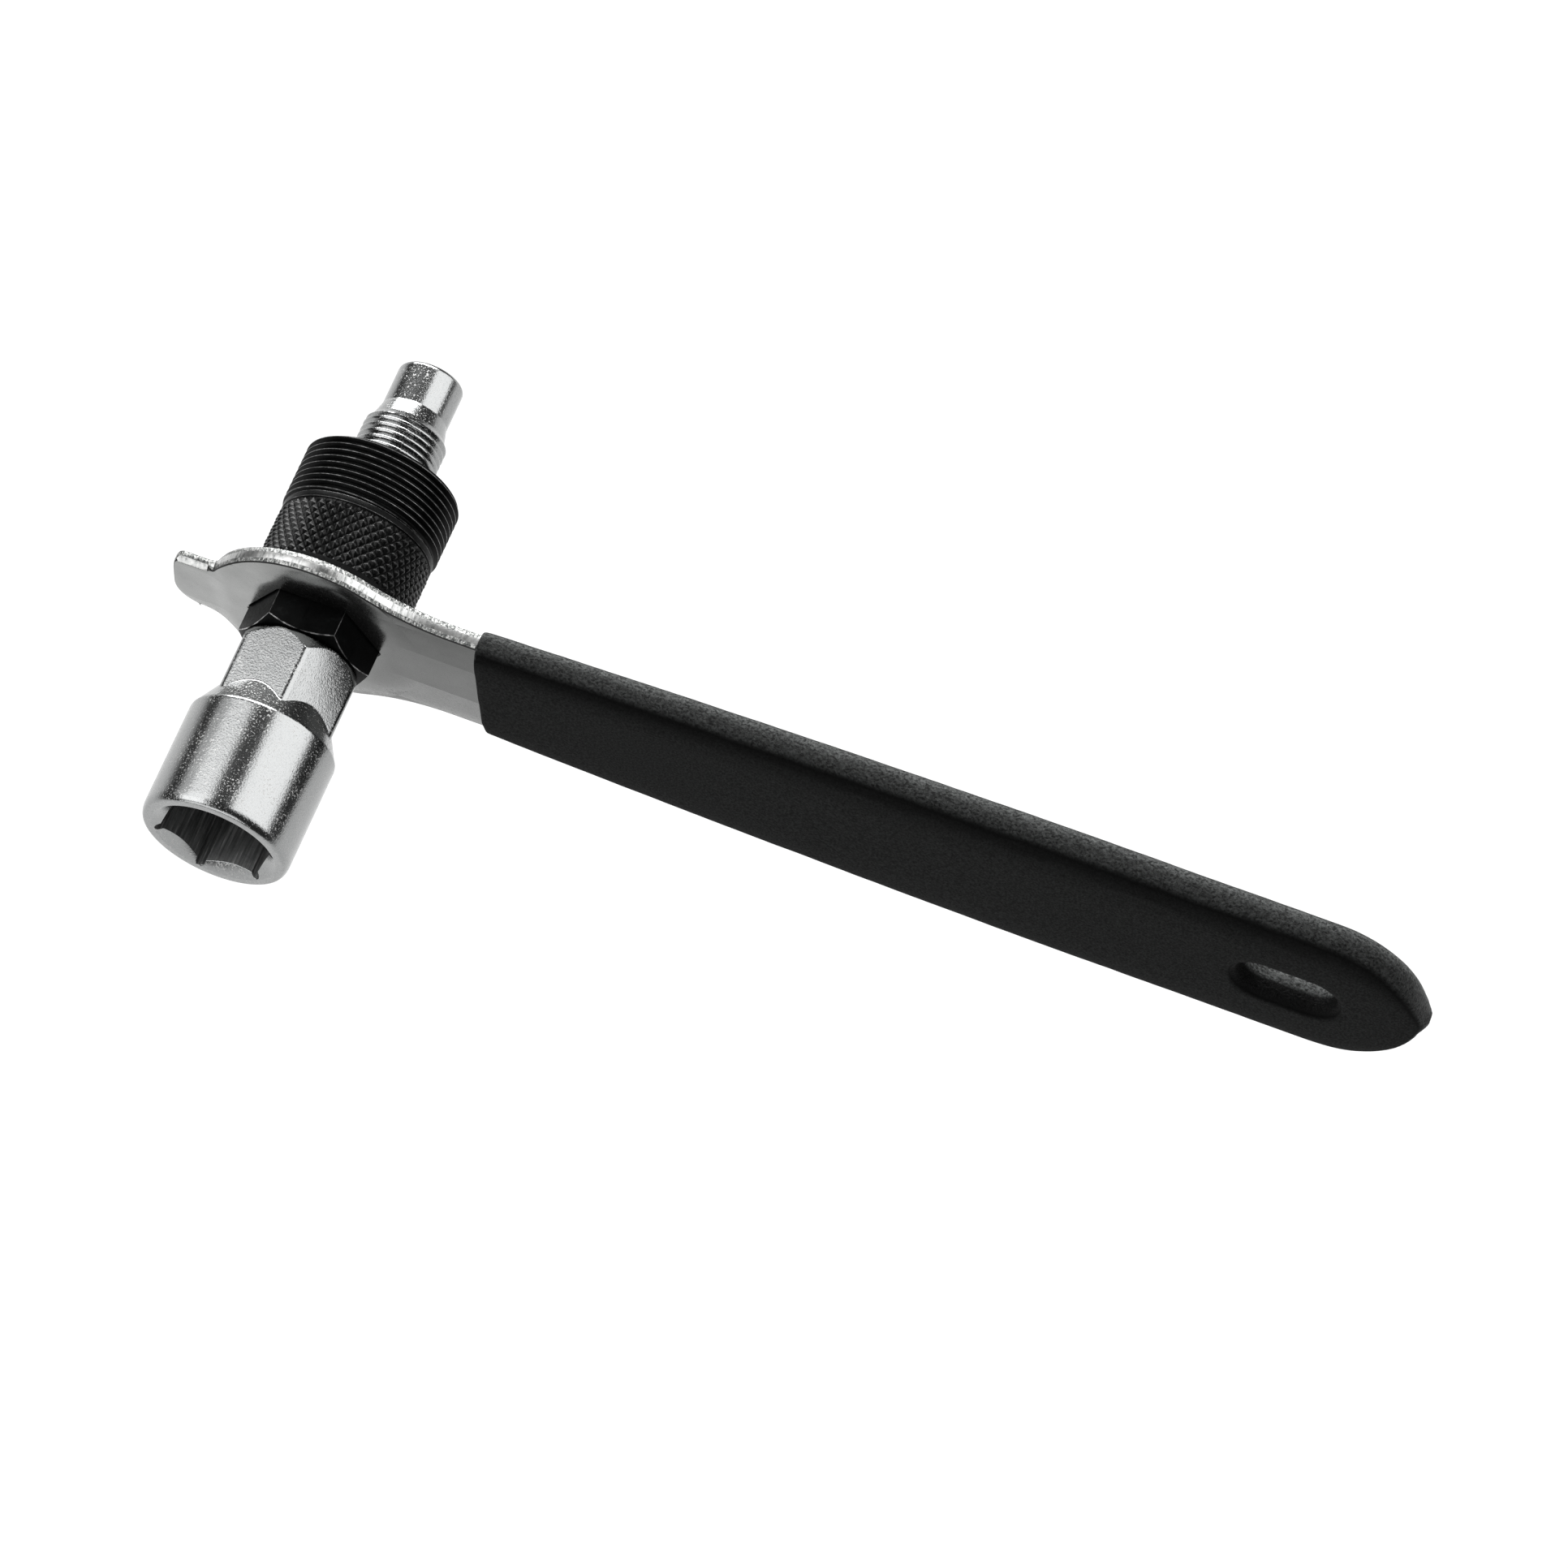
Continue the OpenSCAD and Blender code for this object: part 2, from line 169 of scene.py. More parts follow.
# the plated thread of the spindle: rounder crests over narrow roots
PLATED_RIDGE = ((0.0, 1.0), (0.06, 0.88), (0.16, 0.48), (0.28, 0.15), (0.42, 0.0), (0.58, 0.0),
                (0.72, 0.15), (0.84, 0.48), (0.94, 0.88))


def thread(shell, radius, depth, start, end, angles, limit, ridge, pick=None):
    """A helical V thread between two stations; limit(station) keeps it under its end chamfers."""
    turns = int((end - start) / PITCH) + 2
    per = len(ridge)
    columns = []
    for a in angles + [angles[0] + TAU]:
        column = []
        for k in range(-per, turns * per):
            share, low = ridge[k % per]
            s = start + (k // per + share + (a - angles[0]) / TAU) * PITCH
            s = min(end, max(start, s))
            column.append(around(a, min(radius - depth * low, limit(s)), s))
        columns.append(column)
    shell.grid(columns, closed=False, pick=pick)


# ---------- materials ----------

def material(name, **sockets):
    """A new material, its node tree and its Principled node, with the named sockets set."""
    mat = bpy.data.materials.new(name)
    mat.use_nodes = True
    bsdf = mat.node_tree.nodes["Principled BSDF"]
    for socket, value in sockets.items():
        bsdf.inputs[socket.replace("_", " ")].default_value = value
    return mat, mat.node_tree, bsdf


def coordinates(tree):
    """The place on the object, in metres."""
    return tree.nodes.new("ShaderNodeTexCoord").outputs["Object"]


def separate(tree, vector):
    """The sockets X, Y and Z of a vector."""
    node = tree.nodes.new("ShaderNodeSeparateXYZ")
    tree.links.new(vector, node.inputs["Vector"])
    return node.outputs


def noise_node(tree, scale, detail=3.0, roughness=0.55, stretch=None, distortion=0.0):
    """Noise between 0 and 1 on the object; stretch scales its axes."""
    node = tree.nodes.new("ShaderNodeTexNoise")
    node.inputs["Scale"].default_value = scale
    node.inputs["Detail"].default_value = detail
    node.inputs["Roughness"].default_value = roughness
    node.inputs["Distortion"].default_value = distortion
    source = coordinates(tree)
    if stretch:
        mapping = tree.nodes.new("ShaderNodeMapping")
        mapping.inputs["Scale"].default_value = stretch
        tree.links.new(source, mapping.inputs["Vector"])
        source = mapping.outputs["Vector"]
    tree.links.new(source, node.inputs["Vector"])
    return node.outputs["Fac"]


def remap(tree, value, from_low, from_high, to_low, to_high):
    """A value moved from one range to another, held at the ends of the new one."""
    node = tree.nodes.new("ShaderNodeMapRange")
    for socket, number in (("From Min", from_low), ("From Max", from_high),
                           ("To Min", to_low), ("To Max", to_high)):
        node.inputs[socket].default_value = number
    tree.links.new(value, node.inputs["Value"])
    return node.outputs["Result"]


def paint(tree, bsdf, value, *stops):
    """Base colour from a value; a stop is a position and a colour, or a grey."""
    stops = [(position, colour if isinstance(colour, tuple) else (colour,) * 3)
             for position, colour in stops]
    node = tree.nodes.new("ShaderNodeValToRGB")
    element = node.color_ramp.elements
    element[0].position, element[0].color = stops[0][0], (*stops[0][1], 1)
    element[1].position, element[1].color = stops[-1][0], (*stops[-1][1], 1)
    for position, colour in stops[1:-1]:
        element.new(position).color = (*colour, 1)
    tree.links.new(value, node.inputs["Fac"])
    tree.links.new(node.outputs["Color"], bsdf.inputs["Base Color"])


def roughen(tree, bsdf, value, *ranges):
    """Roughness from a value, remapped."""
    tree.links.new(remap(tree, value, *ranges), bsdf.inputs["Roughness"])


def bump(tree, bsdf, height, distance, strength=1.0, below=None):
    """Bumps the surface, over the normal of the bump below; distance is in metres."""
    node = tree.nodes.new("ShaderNodeBump")
    node.inputs["Distance"].default_value = distance
    node.inputs["Strength"].default_value = strength
    tree.links.new(height, node.inputs["Height"])
    if below:
        tree.links.new(below, node.inputs["Normal"])
    tree.links.new(node.outputs["Normal"], bsdf.inputs["Normal"])
    return node.outputs["Normal"]


def combine(tree, operation, first, second):
    """A math node; second is a socket or a number."""
    node = tree.nodes.new("ShaderNodeMath")
    node.operation = operation
    tree.links.new(first, node.inputs[0])
    if isinstance(second, float):
        node.inputs[1].default_value = second
    else:
        tree.links.new(second, node.inputs[1])
    return node.outputs[0]


def product(tree, first, second):
    return combine(tree, "MULTIPLY", first, second)


def absolute(tree, value):
    return combine(tree, "ABSOLUTE", value, 0.0)


def chrome_material():
    """Plated steel: bright, with the pits and grains of the metal under the plating."""
    mat, tree, bsdf = material("chromed_steel", Metallic=1.0)
    pits = noise_node(tree, 4000, detail=2, roughness=0.5)
    patches = remap(tree, noise_node(tree, 330, detail=3), 0.3, 0.7, -0.075, 0.045)
    spots = combine(tree, "ADD", pits, patches)
    paint(tree, bsdf, spots, (0.31, (0.27, 0.275, 0.275)), (0.41, (0.305, 0.31, 0.31)),
          (0.58, (0.315, 0.32, 0.32)), (0.68, (0.46, 0.46, 0.455)))
    roughen(tree, bsdf, spots, 0.56, 0.68, 0.19, 0.56)
    first = bump(tree, bsdf, pits, 0.00004, 0.45)
    bump(tree, bsdf, noise_node(tree, 900, detail=2), 0.00006, 0.16, below=first)
    return mat


def hole_material():
    """The broached hole: unpolished, dark, streaked along the cut."""
    mat, tree, bsdf = material("broached_steel", Metallic=0.5)
    streaks = noise_node(tree, 2600, detail=3, stretch=(1.0, 0.06, 1.0))
    paint(tree, bsdf, streaks, (0.38, (0.06, 0.062, 0.062)), (0.60, (0.15, 0.152, 0.152)),
          (0.72, 0.38))
    roughen(tree, bsdf, streaks, 0.3, 0.7, 0.42, 0.30)
    bump(tree, bsdf, noise_node(tree, 1500, detail=3), 0.00008, 0.5)
    return mat


def oxide_material(name, specular, smooth):
    """Black-oxide steel: nearly black, with a few grey specks; smooth is its least roughness."""
    mat, tree, bsdf = material(name, Metallic=0.0, Specular_IOR_Level=specular)
    patches = noise_node(tree, 700, detail=4)
    paint(tree, bsdf, patches, (0.35, (0.0011, 0.0012, 0.0012)), (0.62, (0.0022, 0.0024, 0.0024)),
          (0.8, (0.009, 0.0095, 0.0095)))
    roughen(tree, bsdf, noise_node(tree, 2500, detail=3), 0.3, 0.7, smooth, smooth + 0.16)
    bump(tree, bsdf, noise_node(tree, 5200, detail=4, roughness=0.7), 0.00002, 0.5)
    return mat


def worn_material(name, metallic, bright):
    """Edges where the black oxide is rubbed down towards grey steel."""
    mat, tree, bsdf = material(name, Metallic=metallic, Roughness=0.34)
    wear = noise_node(tree, 1100, detail=4, roughness=0.6)
    paint(tree, bsdf, wear, (0.32, (0.008, 0.008, 0.0085)), (0.48, 0.3 * bright), (0.66, bright))
    return mat


def plate_material():
    """The flat face of the lever: rolled steel with a satin finish, with painted shade darkening it
    towards the shank.
    """
    mat, tree, bsdf = material("satin_steel", Metallic=1.0)
    cloud = noise_node(tree, 190, detail=4, roughness=0.6)
    x, _, z = separate(tree, coordinates(tree))
    # painted shade: the random tone is darkened along x to 0.4 of itself towards the shank
    tone = product(tree, remap(tree, cloud, 0.3, 0.7, 0.290, 0.355),
                   remap(tree, x, -0.009, 0.011, 1.0, 0.40))
    paint(tree, bsdf, tone, (0.0, 0.0), (1.0, (0.985, 1.0, 0.985)))
    roughen(tree, bsdf, noise_node(tree, 2600, detail=3), 0.3, 0.7, 0.17, 0.28)
    # the face falls away a little towards the rim of the head, as a stamped plate does
    square = combine(tree, "ADD", product(tree, x, x), product(tree, z, z))
    radius = combine(tree, "POWER", square, 0.5)
    fall = combine(tree, "POWER", remap(tree, radius, 0.0100, HEAD_R * MM, 0.0, 1.0), 2.0)
    fall = product(tree, fall, remap(tree, absolute(tree, z), 0.004, 0.010, 0.0, -1.0))
    rolled = bump(tree, bsdf, fall, 0.0007)
    bump(tree, bsdf, noise_node(tree, 3800, detail=3, roughness=0.6), 0.00002, 0.35, below=rolled)
    return mat


def sheared_material():
    """The torn part of the stamped edge: coarse bright and dark grains."""
    mat, tree, bsdf = material("sheared_steel_edge", Metallic=1.0, Roughness=0.36)
    grains = noise_node(tree, 3500, detail=3, roughness=0.65, stretch=(1.0, 0.6, 1.0))
    paint(tree, bsdf, grains, (0.36, (0.06, 0.062, 0.062)), (0.50, (0.20, 0.205, 0.20)),
          (0.66, (0.55, 0.55, 0.54)))
    bump(tree, bsdf, grains, 0.00014, 0.9)
    return mat


def burnished_material():
    """The smooth part of the stamped edge, where the punch rubbed it bright."""
    mat, tree, bsdf = material("burnished_steel_edge", Metallic=1.0, Roughness=0.28)
    marks = noise_node(tree, 2300, detail=3, stretch=(1.0, 0.25, 1.0))
    paint(tree, bsdf, marks, (0.30, (0.20, 0.205, 0.20)), (0.45, (0.44, 0.445, 0.44)),
          (0.7, (0.58, 0.58, 0.57)))
    bump(tree, bsdf, marks, 0.00005, 0.5)
    return mat


def grip_material():
    """Dipped rubber: a fine matt grain on the flat sides, wrinkled like leather round the edges,
    with painted shade and painted light laid over them.
    """
    mat, tree, bsdf = material("black_grip", Metallic=0.0, Specular_IOR_Level=0.07)
    _, facing, upward = separate(tree, tree.nodes.new("ShaderNodeNewGeometry").outputs["Normal"])
    flatness = absolute(tree, facing)
    edge = remap(tree, flatness, 0.62, 0.90, 1.0, 0.0)
    grain = noise_node(tree, 3300, detail=3, roughness=0.65)
    leather = noise_node(tree, 3000, detail=3, roughness=0.6, stretch=(0.8, 1.0, 1.0),
                         distortion=0.5)
    # painted shade: the flat side is painted darker where it bends towards the edge, most along the
    # top
    painted_top_shade = product(tree, remap(tree, flatness, 0.88, 0.95, 0.3, 1.0),
                   remap(tree, upward, 0.02, 0.24, 1.0, 0.3))
    on_face = product(tree, remap(tree, grain, 0.34, 0.68, 0.0025, 0.0185), painted_top_shade)
    # painted light: the edge colour is made up to three times lighter where its normal turns
    # towards +Y, the barrel's side
    on_edge = product(tree, remap(tree, leather, 0.36, 0.70, 0.005, 0.043),
                      remap(tree, facing, -0.05, 0.3, 1.0, 3.0))
    # painted shade and painted light in the hanging slot: the near part of the wall is painted dark
    # and the far part painted lighter
    x, y, z = separate(tree, coordinates(tree))
    along = absolute(tree, combine(tree, "SUBTRACT", x, SLOT_X * MM))
    painted_slot_shading = product(tree, remap(tree, absolute(tree, z), 0.0046, 0.0062, 1.0, 0.0),
                      remap(tree, along, 0.0078, 0.0094, 1.0, 0.0))
    middle = (ORIGIN - PLATE_MID) * MM
    painted_dark_to_light = remap(tree, y, middle - 0.0007, middle - 0.0002, -0.93, 1.3)
    painted_slot_shading = combine(tree, "ADD", product(tree, painted_slot_shading, painted_dark_to_light), 1.0)
    on_edge = product(tree, on_edge, painted_slot_shading)
    more = product(tree, edge, combine(tree, "SUBTRACT", on_edge, on_face))
    tone = combine(tree, "ADD", on_face, more)
    paint(tree, bsdf, tone, (0.0, 0.0), (1.0, (0.96, 1.0, 0.985)))
    roughen(tree, bsdf, edge, 0.0, 1.0, 0.90, 0.44)
    fine = bump(tree, bsdf, grain, 0.00006, 0.6)
    bump(tree, bsdf, product(tree, leather, edge), 0.00030, 0.9, below=fine)
    return mat


# ---------- puller body ----------

# radii (R) and stations of the body, from the crank thread to the hexagon, in mm
CRANK_R = 11.0
CRANK_DEPTH = 0.5
CRANK_ROOT = CRANK_R - CRANK_DEPTH
THREAD_END = 8.7
COLLAR_R = 10.72
COLLAR_START = 8.93
COLLAR_END = 9.66
KNURL_START = 9.85
KNURL_END = 18.25
KNURL_R = 10.8
KNURL_FLOOR = 10.5
LAND_R = 10.6
LAND_END = 21.2
BODY_END = 28.25
BORE_R = 5.9
BORE_BEVEL = 0.6
# both hexagons are this far across the flats, halved; the corners' angles count from the top
HEX_FLAT = 8.0
BODY_CORNER = math.radians(30)
BODY_ROUNDING = 0.25
BODY_BEVEL = math.tan(math.radians(34))
# the columns this near to a corner, in radians, are rubbed bright
RUBBED_FROM, RUBBED_TO = -0.006, 0.004

# the diamond knurl: teeth round the barrel, length of a diamond, depth
KNURL_COUNT = 45
KNURL_ROW = 1.76
KNURL_DEPTH = 0.42
# across one groove and its neighbour's crest: (share of the width, share of the depth)
KNURL_CELL = ((0.0, 1.0), (0.36, 0.12), (0.5, 0.0), (0.64, 0.12))
# how fast the knurl rises from its two ends
KNURL_CHAMFER = 0.9

# the places of the body's materials
OXIDE, WORN, RUBBED, KNURLED = range(4)


def knurl(shell):
    """Diamonds between two crossing sets of V grooves; the grid follows the grooves."""
    per = len(KNURL_CELL)
    low = -3 * per
    high = int(2 * (KNURL_END - KNURL_START) / KNURL_ROW + 3) * per
    around_count = KNURL_COUNT * per
    start = len(shell.verts)
    # the points past either end: False before the start and True behind the end
    ends = {}
    deep = []
    for d in range(low, high):
        for v in range(around_count):
            p_share, p_drop = KNURL_CELL[(v + d) % per]
            q_share, q_drop = KNURL_CELL[v % per]
            p, q = (v + d) // per + p_share, v // per + q_share
            s = KNURL_START + KNURL_ROW * (p - q) / 2
            radius = min(KNURL_R - KNURL_DEPTH * max(p_drop, q_drop),
                         KNURL_FLOOR + (s - KNURL_START) * KNURL_CHAMFER,
                         KNURL_FLOOR + (KNURL_END - s) * KNURL_CHAMFER)
            if s <= KNURL_START or s >= KNURL_END:
                ends[len(shell.verts)] = s >= KNURL_END
                s = min(KNURL_END, max(KNURL_START, s))
                radius = KNURL_FLOOR
            deep.append(p_drop + q_drop)
            shell.verts.append(around(TAU * (p + q) / 2 / KNURL_COUNT, radius, s))
    for d in range(low + 1, high - 1):
        for v in range(around_count):
            w = (v + 1) % around_count
            quad = [(d - low) * around_count + v, (d + 1 - low) * around_count + v,
                    (d - low) * around_count + w, (d - 1 - low) * around_count + w]
            if None not in {ends.get(start + i) for i in quad}:
                continue
            # the crease runs through the corner where two grooves cross
            k = max(range(4), key=lambda i: deep[quad[i]]) % 2
            a, b, c, e = (start + quad[(k + i) % 4] for i in range(4))
            shell.faces += [(a, b, c), (a, c, e)]
            shell.picks += [KNURLED, KNURLED]


def build_body(oxide, knurled, worn, rubbed):
    shell = Shell()
    angles = even_angles()

    def turned(profile, pick=None):
        shell.grid([[around(a, r, s) for r, s in profile] for a in angles], pick=pick)

    thread(shell, CRANK_R, CRANK_DEPTH, 0.0, THREAD_END, angles,
           lambda s: min(CRANK_R, CRANK_ROOT + 2.2 * s, CRANK_ROOT + (THREAD_END - s) * 1.2),
           RIDGE, pick=lambda k, j: RUBBED if k % len(RIDGE) == CREST_ROW else OXIDE)
    turned(((BORE_R, BORE_BEVEL), (BORE_R + BORE_BEVEL - 0.05, 0.03),
            (BORE_R + BORE_BEVEL + 0.05, 0.0), (CRANK_ROOT - 0.15, 0.0), (CRANK_ROOT, 0.0)))
    turned(((CRANK_ROOT, THREAD_END), (COLLAR_R - 0.03, COLLAR_START - 0.07),
            (COLLAR_R, COLLAR_START), (COLLAR_R, COLLAR_END),
            (COLLAR_R - 0.06, COLLAR_END + 0.06), (KNURL_FLOOR, KNURL_START)),
           pick=lambda k, j: RUBBED if k in (1, 3) else OXIDE)
    knurl(shell)
    turned(((KNURL_FLOOR, KNURL_END), (LAND_R - 0.02, KNURL_END + 0.08), (LAND_R, KNURL_END + 0.2),
            (LAND_R, LAND_END - 0.08), (LAND_R - 0.08, LAND_END), (HEX_FLAT - 0.2, LAND_END)))

    corners = with_corners(angles, BODY_CORNER, (0.3, 0.8, 1.1, 1.6))
    on_corner = [RUBBED_FROM < corner_angle(a, BODY_CORNER) < RUBBED_TO for a in corners]
    columns = []
    for a in corners:
        rho = hexagon_radius(a, HEX_FLAT, BODY_CORNER, BODY_ROUNDING)
        cross = BODY_END - (rho - HEX_FLAT) * BODY_BEVEL
        soft = min(0.10, rho - HEX_FLAT + 0.001)
        columns.append([around(a, r, s) for r, s in (
            (rho, LAND_END), (rho, LAND_END + 1.5), (rho, cross - soft),
            (rho - soft * 0.75, cross + soft * 0.5),
            (HEX_FLAT - 0.02, BODY_END - 0.015), (HEX_FLAT - 0.1, BODY_END),
            (BORE_R + BORE_BEVEL + 0.05, BODY_END), (BORE_R + BORE_BEVEL - 0.05, BODY_END - 0.03),
            (BORE_R, BODY_END - BORE_BEVEL), (BORE_R, BORE_BEVEL))])
    shell.grid(columns, pick=lambda k, j: (
        WORN if k == 2 else RUBBED if k < 2 and on_corner[j] else OXIDE))
    body = new_object("black_puller_body", shell, [oxide, worn, rubbed, knurled])
    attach(body, "puller")
    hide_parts("puller_body")


# ---------- spindle ----------

# radii (R) and stations of the spindle, from its tip to its socket, in mm
TIP_R = 4.63
TIP_END = -16.9
TIP_ROUND = 0.7
TIP_FOOT = -10.5
SPINDLE_R = 5.85
SPINDLE_DEPTH = 0.36
SPINDLE_START = -8.1
# the thread runs out to this radius at both of its ends, this fast
RUN_OUT_R = 5.35
RUN_OUT = 0.8
SPINDLE_STOP = 27.9
HEX_START = 28.65
HEX_END = 37.05
SPINDLE_CORNER = math.radians(13.5)
SPINDLE_ROUNDING = 1.15
# how fast the cone on the hexagon's start widens
CONE = (2 * HEX_FLAT / math.sqrt(3) - HEX_FLAT) / 2.3
# width of the band that softens the hexagon's curved edges
HEX_SOFT = 0.11
SOCKET_R = 10.27
SOCKET_START = 41.15
SOCKET_END = 57.35
# how fast the shoulder between the hexagon and the socket widens
SHOULDER = (SOCKET_R - 0.22 - HEX_FLAT) / (SOCKET_START - 0.3 - HEX_END)
# the hexagonal hole: half its width across flats and corners, depth, its bottom's cone
NUT_CORNER = math.radians(16.5)
NUT_FLAT = 7.0
NUT_REACH = 2 * NUT_FLAT / math.sqrt(3)
NUT_RELIEF = 0.62
NUT_DEPTH = 14.5
NUT_CONE_R = 6.8
NUT_CONE = 2.4
MOUTH_R = NUT_REACH + 0.55


def nut_radius(angle):
    """The hexagonal hole, with a small round relief in each corner."""
    e = abs(corner_angle(angle, NUT_CORNER))
    plain = NUT_FLAT / math.cos(TAU / 12 - e)
    middle = NUT_REACH - 0.12
    aside = middle * math.sin(e)
    if aside < NUT_RELIEF:
        plain = max(plain, middle * math.cos(e) + math.sqrt(NUT_RELIEF ** 2 - aside ** 2))
    return plain


def spindle_column(angle):
    """Radii and stations from the end of the thread over the hexagon and socket into the hole."""
    rho = hexagon_radius(angle, HEX_FLAT, SPINDLE_CORNER, SPINDLE_ROUNDING)
    # the hexagon's flats run from the cone at its start to the shoulder of the socket
    top = HEX_START + (rho - HEX_FLAT) / CONE
    low = HEX_END + (rho - HEX_FLAT) / SHOULDER
    column = [(RUN_OUT_R, SPINDLE_STOP), (RUN_OUT_R, HEX_START), (HEX_FLAT - 0.12, HEX_START),
              (HEX_FLAT, HEX_START + 0.04), (rho - 0.4 * HEX_SOFT * CONE, top - 0.4 * HEX_SOFT),
              (rho, top + HEX_SOFT), (rho, top + HEX_SOFT + 0.12),
              (rho, low - HEX_SOFT - 0.12), (rho, low - HEX_SOFT),
              (rho + 0.35 * HEX_SOFT * SHOULDER, low + 0.35 * HEX_SOFT),
              (rho + 1.2 * HEX_SOFT * SHOULDER, low + 1.2 * HEX_SOFT)]
    column += [(SOCKET_R - 0.30, SOCKET_START - 0.45), (SOCKET_R - 0.12, SOCKET_START - 0.2),
               (SOCKET_R - 0.03, SOCKET_START), (SOCKET_R, SOCKET_START + 0.2),
               (SOCKET_R, SOCKET_START + 0.35), (SOCKET_R, SOCKET_END - 1.7)]
    column += [(SOCKET_R - 0.6 * (1 - c), SOCKET_END - 1.5 * (1 - s))
               for c, s in arc(0, 0, 1, 0, 90, 10)]
    column += [(SOCKET_R - 0.75, SOCKET_END), (MOUTH_R + 0.1, SOCKET_END),
               (MOUTH_R, SOCKET_END - 0.01)]
    hole = nut_radius(angle)
    lead = SOCKET_END - (MOUTH_R - hole) * 0.7
    column += [(hole + 0.02, lead), (hole, lead - 0.05), (hole, SOCKET_END - 7),
               (hole, SOCKET_END - NUT_DEPTH), (min(hole, NUT_CONE_R), SOCKET_END - NUT_DEPTH),
               (0.0, SOCKET_END - NUT_DEPTH - NUT_CONE)]
    return column


# the rows of spindle_column that are the hole's walls and bottom
HOLE_ROWS = 5


def build_spindle(chrome, broached):
    shell = Shell()
    angles = even_angles()
    tip = [(0.0, TIP_END), (3.0, TIP_END), (3.6, TIP_END)]
    tip += arc(TIP_R - TIP_ROUND, TIP_END + TIP_ROUND, TIP_ROUND, -90, 0, 8)
    tip += [(TIP_R, TIP_END + TIP_ROUND + 0.15), (TIP_R, TIP_FOOT - 0.2), (TIP_R, TIP_FOOT - 0.06),
            (TIP_R + 0.02, TIP_FOOT), (RUN_OUT_R - 0.15, SPINDLE_START - 0.35),
            (RUN_OUT_R, SPINDLE_START)]
    shell.grid([[around(a, r, s) for r, s in tip] for a in angles])
    thread(shell, SPINDLE_R, SPINDLE_DEPTH, SPINDLE_START, SPINDLE_STOP, angles,
           lambda s: min(SPINDLE_R, RUN_OUT_R + (s - SPINDLE_START) * RUN_OUT,
                         RUN_OUT_R + (SPINDLE_STOP - s) * RUN_OUT), PLATED_RIDGE)

    angles = with_corners(even_angles(SPINDLE_CORNER), SPINDLE_CORNER,
                          (0.4, 0.9, 1.4, 1.9, 2.4, 2.9, 3.3, 3.7, 4.3))
    angles = with_corners(angles, NUT_CORNER,
                          (0, 0.6, 1.2, 1.8, 2.4, 3.0, 3.5, 3.9, 4.2, 4.4, 4.6, 5.0, 5.6))
    columns = [[around(a, r, s) for r, s in spindle_column(a)] for a in angles]
    walls = len(columns[0]) - HOLE_ROWS
    shell.grid(columns, pick=lambda k, j: 1 if k >= walls else 0)
    spindle = new_object("chromed_spindle", shell, [chrome, broached], sharp=30)
    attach(spindle, "spindle_group")
    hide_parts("spindle")


# ---------- lever ----------

# radius of the head, half the width of the shank there and at its hidden end, and the arc
# between head and shank with the place of its centre
HEAD_R = 15.4
SHANK = 10.5
SHANK_END = 12.4
BLEND_R = 25.0
BLEND_Z = SHANK + BLEND_R
BLEND_X = math.sqrt((HEAD_R + BLEND_R) ** 2 - BLEND_Z ** 2)


def plate_outline():
    """The lever's outline seen from the socket's side, anticlockwise in x and z."""
    turn = math.degrees(math.atan2(BLEND_Z, BLEND_X))
    points = [(BLEND_X, -SHANK), (GRIP_START + 3, -SHANK), (GRIP_END, -SHANK_END)]
    points += arc(GRIP_END, 0, SHANK_END, -86, 86, 24)
    points += [(GRIP_END, SHANK_END), (GRIP_START + 3, SHANK), (BLEND_X + 1.5, SHANK)]
    points += arc(BLEND_X, BLEND_Z, BLEND_R, 270, 180 + turn, 22)[:-1]
    points += arc(0, 0, HEAD_R, turn, 157.2, 52)
    # the nose: its notch, top and tip, then the hollow below it
    points += [(-14.45, 5.62), (-14.8, 5.5), (-15.3, 5.47), (-16.5, 5.48), (-18.5, 5.5),
               (-19.1, 5.45), (-19.5, 5.2), (-19.75, 4.8), (-20.0, 4.2), (-20.2, 3.3),
               (-20.28, 2.3), (-20.3, 0.8)]
    points += arc(-16.1, -1.35, 4.2, 180, 262, 14)
    points += arc(-17.0, -12.1, 6.6, 88, 10, 26)
    points += arc(0, 0, HEAD_R, 228.6, 360 - turn, 40)[:-1]
    points += arc(BLEND_X, -BLEND_Z, BLEND_R, 180 - turn, 90, 22)[:-1]
    return points


def inward(points, index):
    """The way into the material at a corner of an anticlockwise outline, for an inset of 1."""
    ax, az = points[index - 1]
    bx, bz = points[index]
    cx, cz = points[(index + 1) % len(points)]
    first = Vector((-(bz - az), bx - ax)).normalized()
    second = Vector((-(cz - bz), cx - bx)).normalized()
    total = first + second
    return total / max(0.6, total.dot(total) / 2)


# the places of the lever's materials
SATIN, SHEARED, SHADOW, BURNISHED = range(4)
# the stamped edge from the barrel's side to the socket's side: (inset, height) in mm
EDGE = ((1.3, 0.0), (0.40, 0.0), (0.16, 0.07), (0.05, 0.32), (0.0, 0.75), (0.0, 1.25),
        (0.03, 1.7), (0.09, 2.05), (0.13, 2.26), (0.23, 2.37), (0.28, 2.42), (0.50, 2.46),
        (0.95, 2.515), (1.6, 2.57), (2.5, 2.6))
EDGE_MATERIAL = (2 * (SATIN,) + 2 * (SHEARED,) + 2 * (BURNISHED,) + 2 * (SHEARED,)
                 + 2 * (SHADOW,) + 4 * (SATIN,))
# from this row on, EDGE is the face's fall towards its edge, narrower round the nose
FALL_ROW = 11
NARROW = 0.44
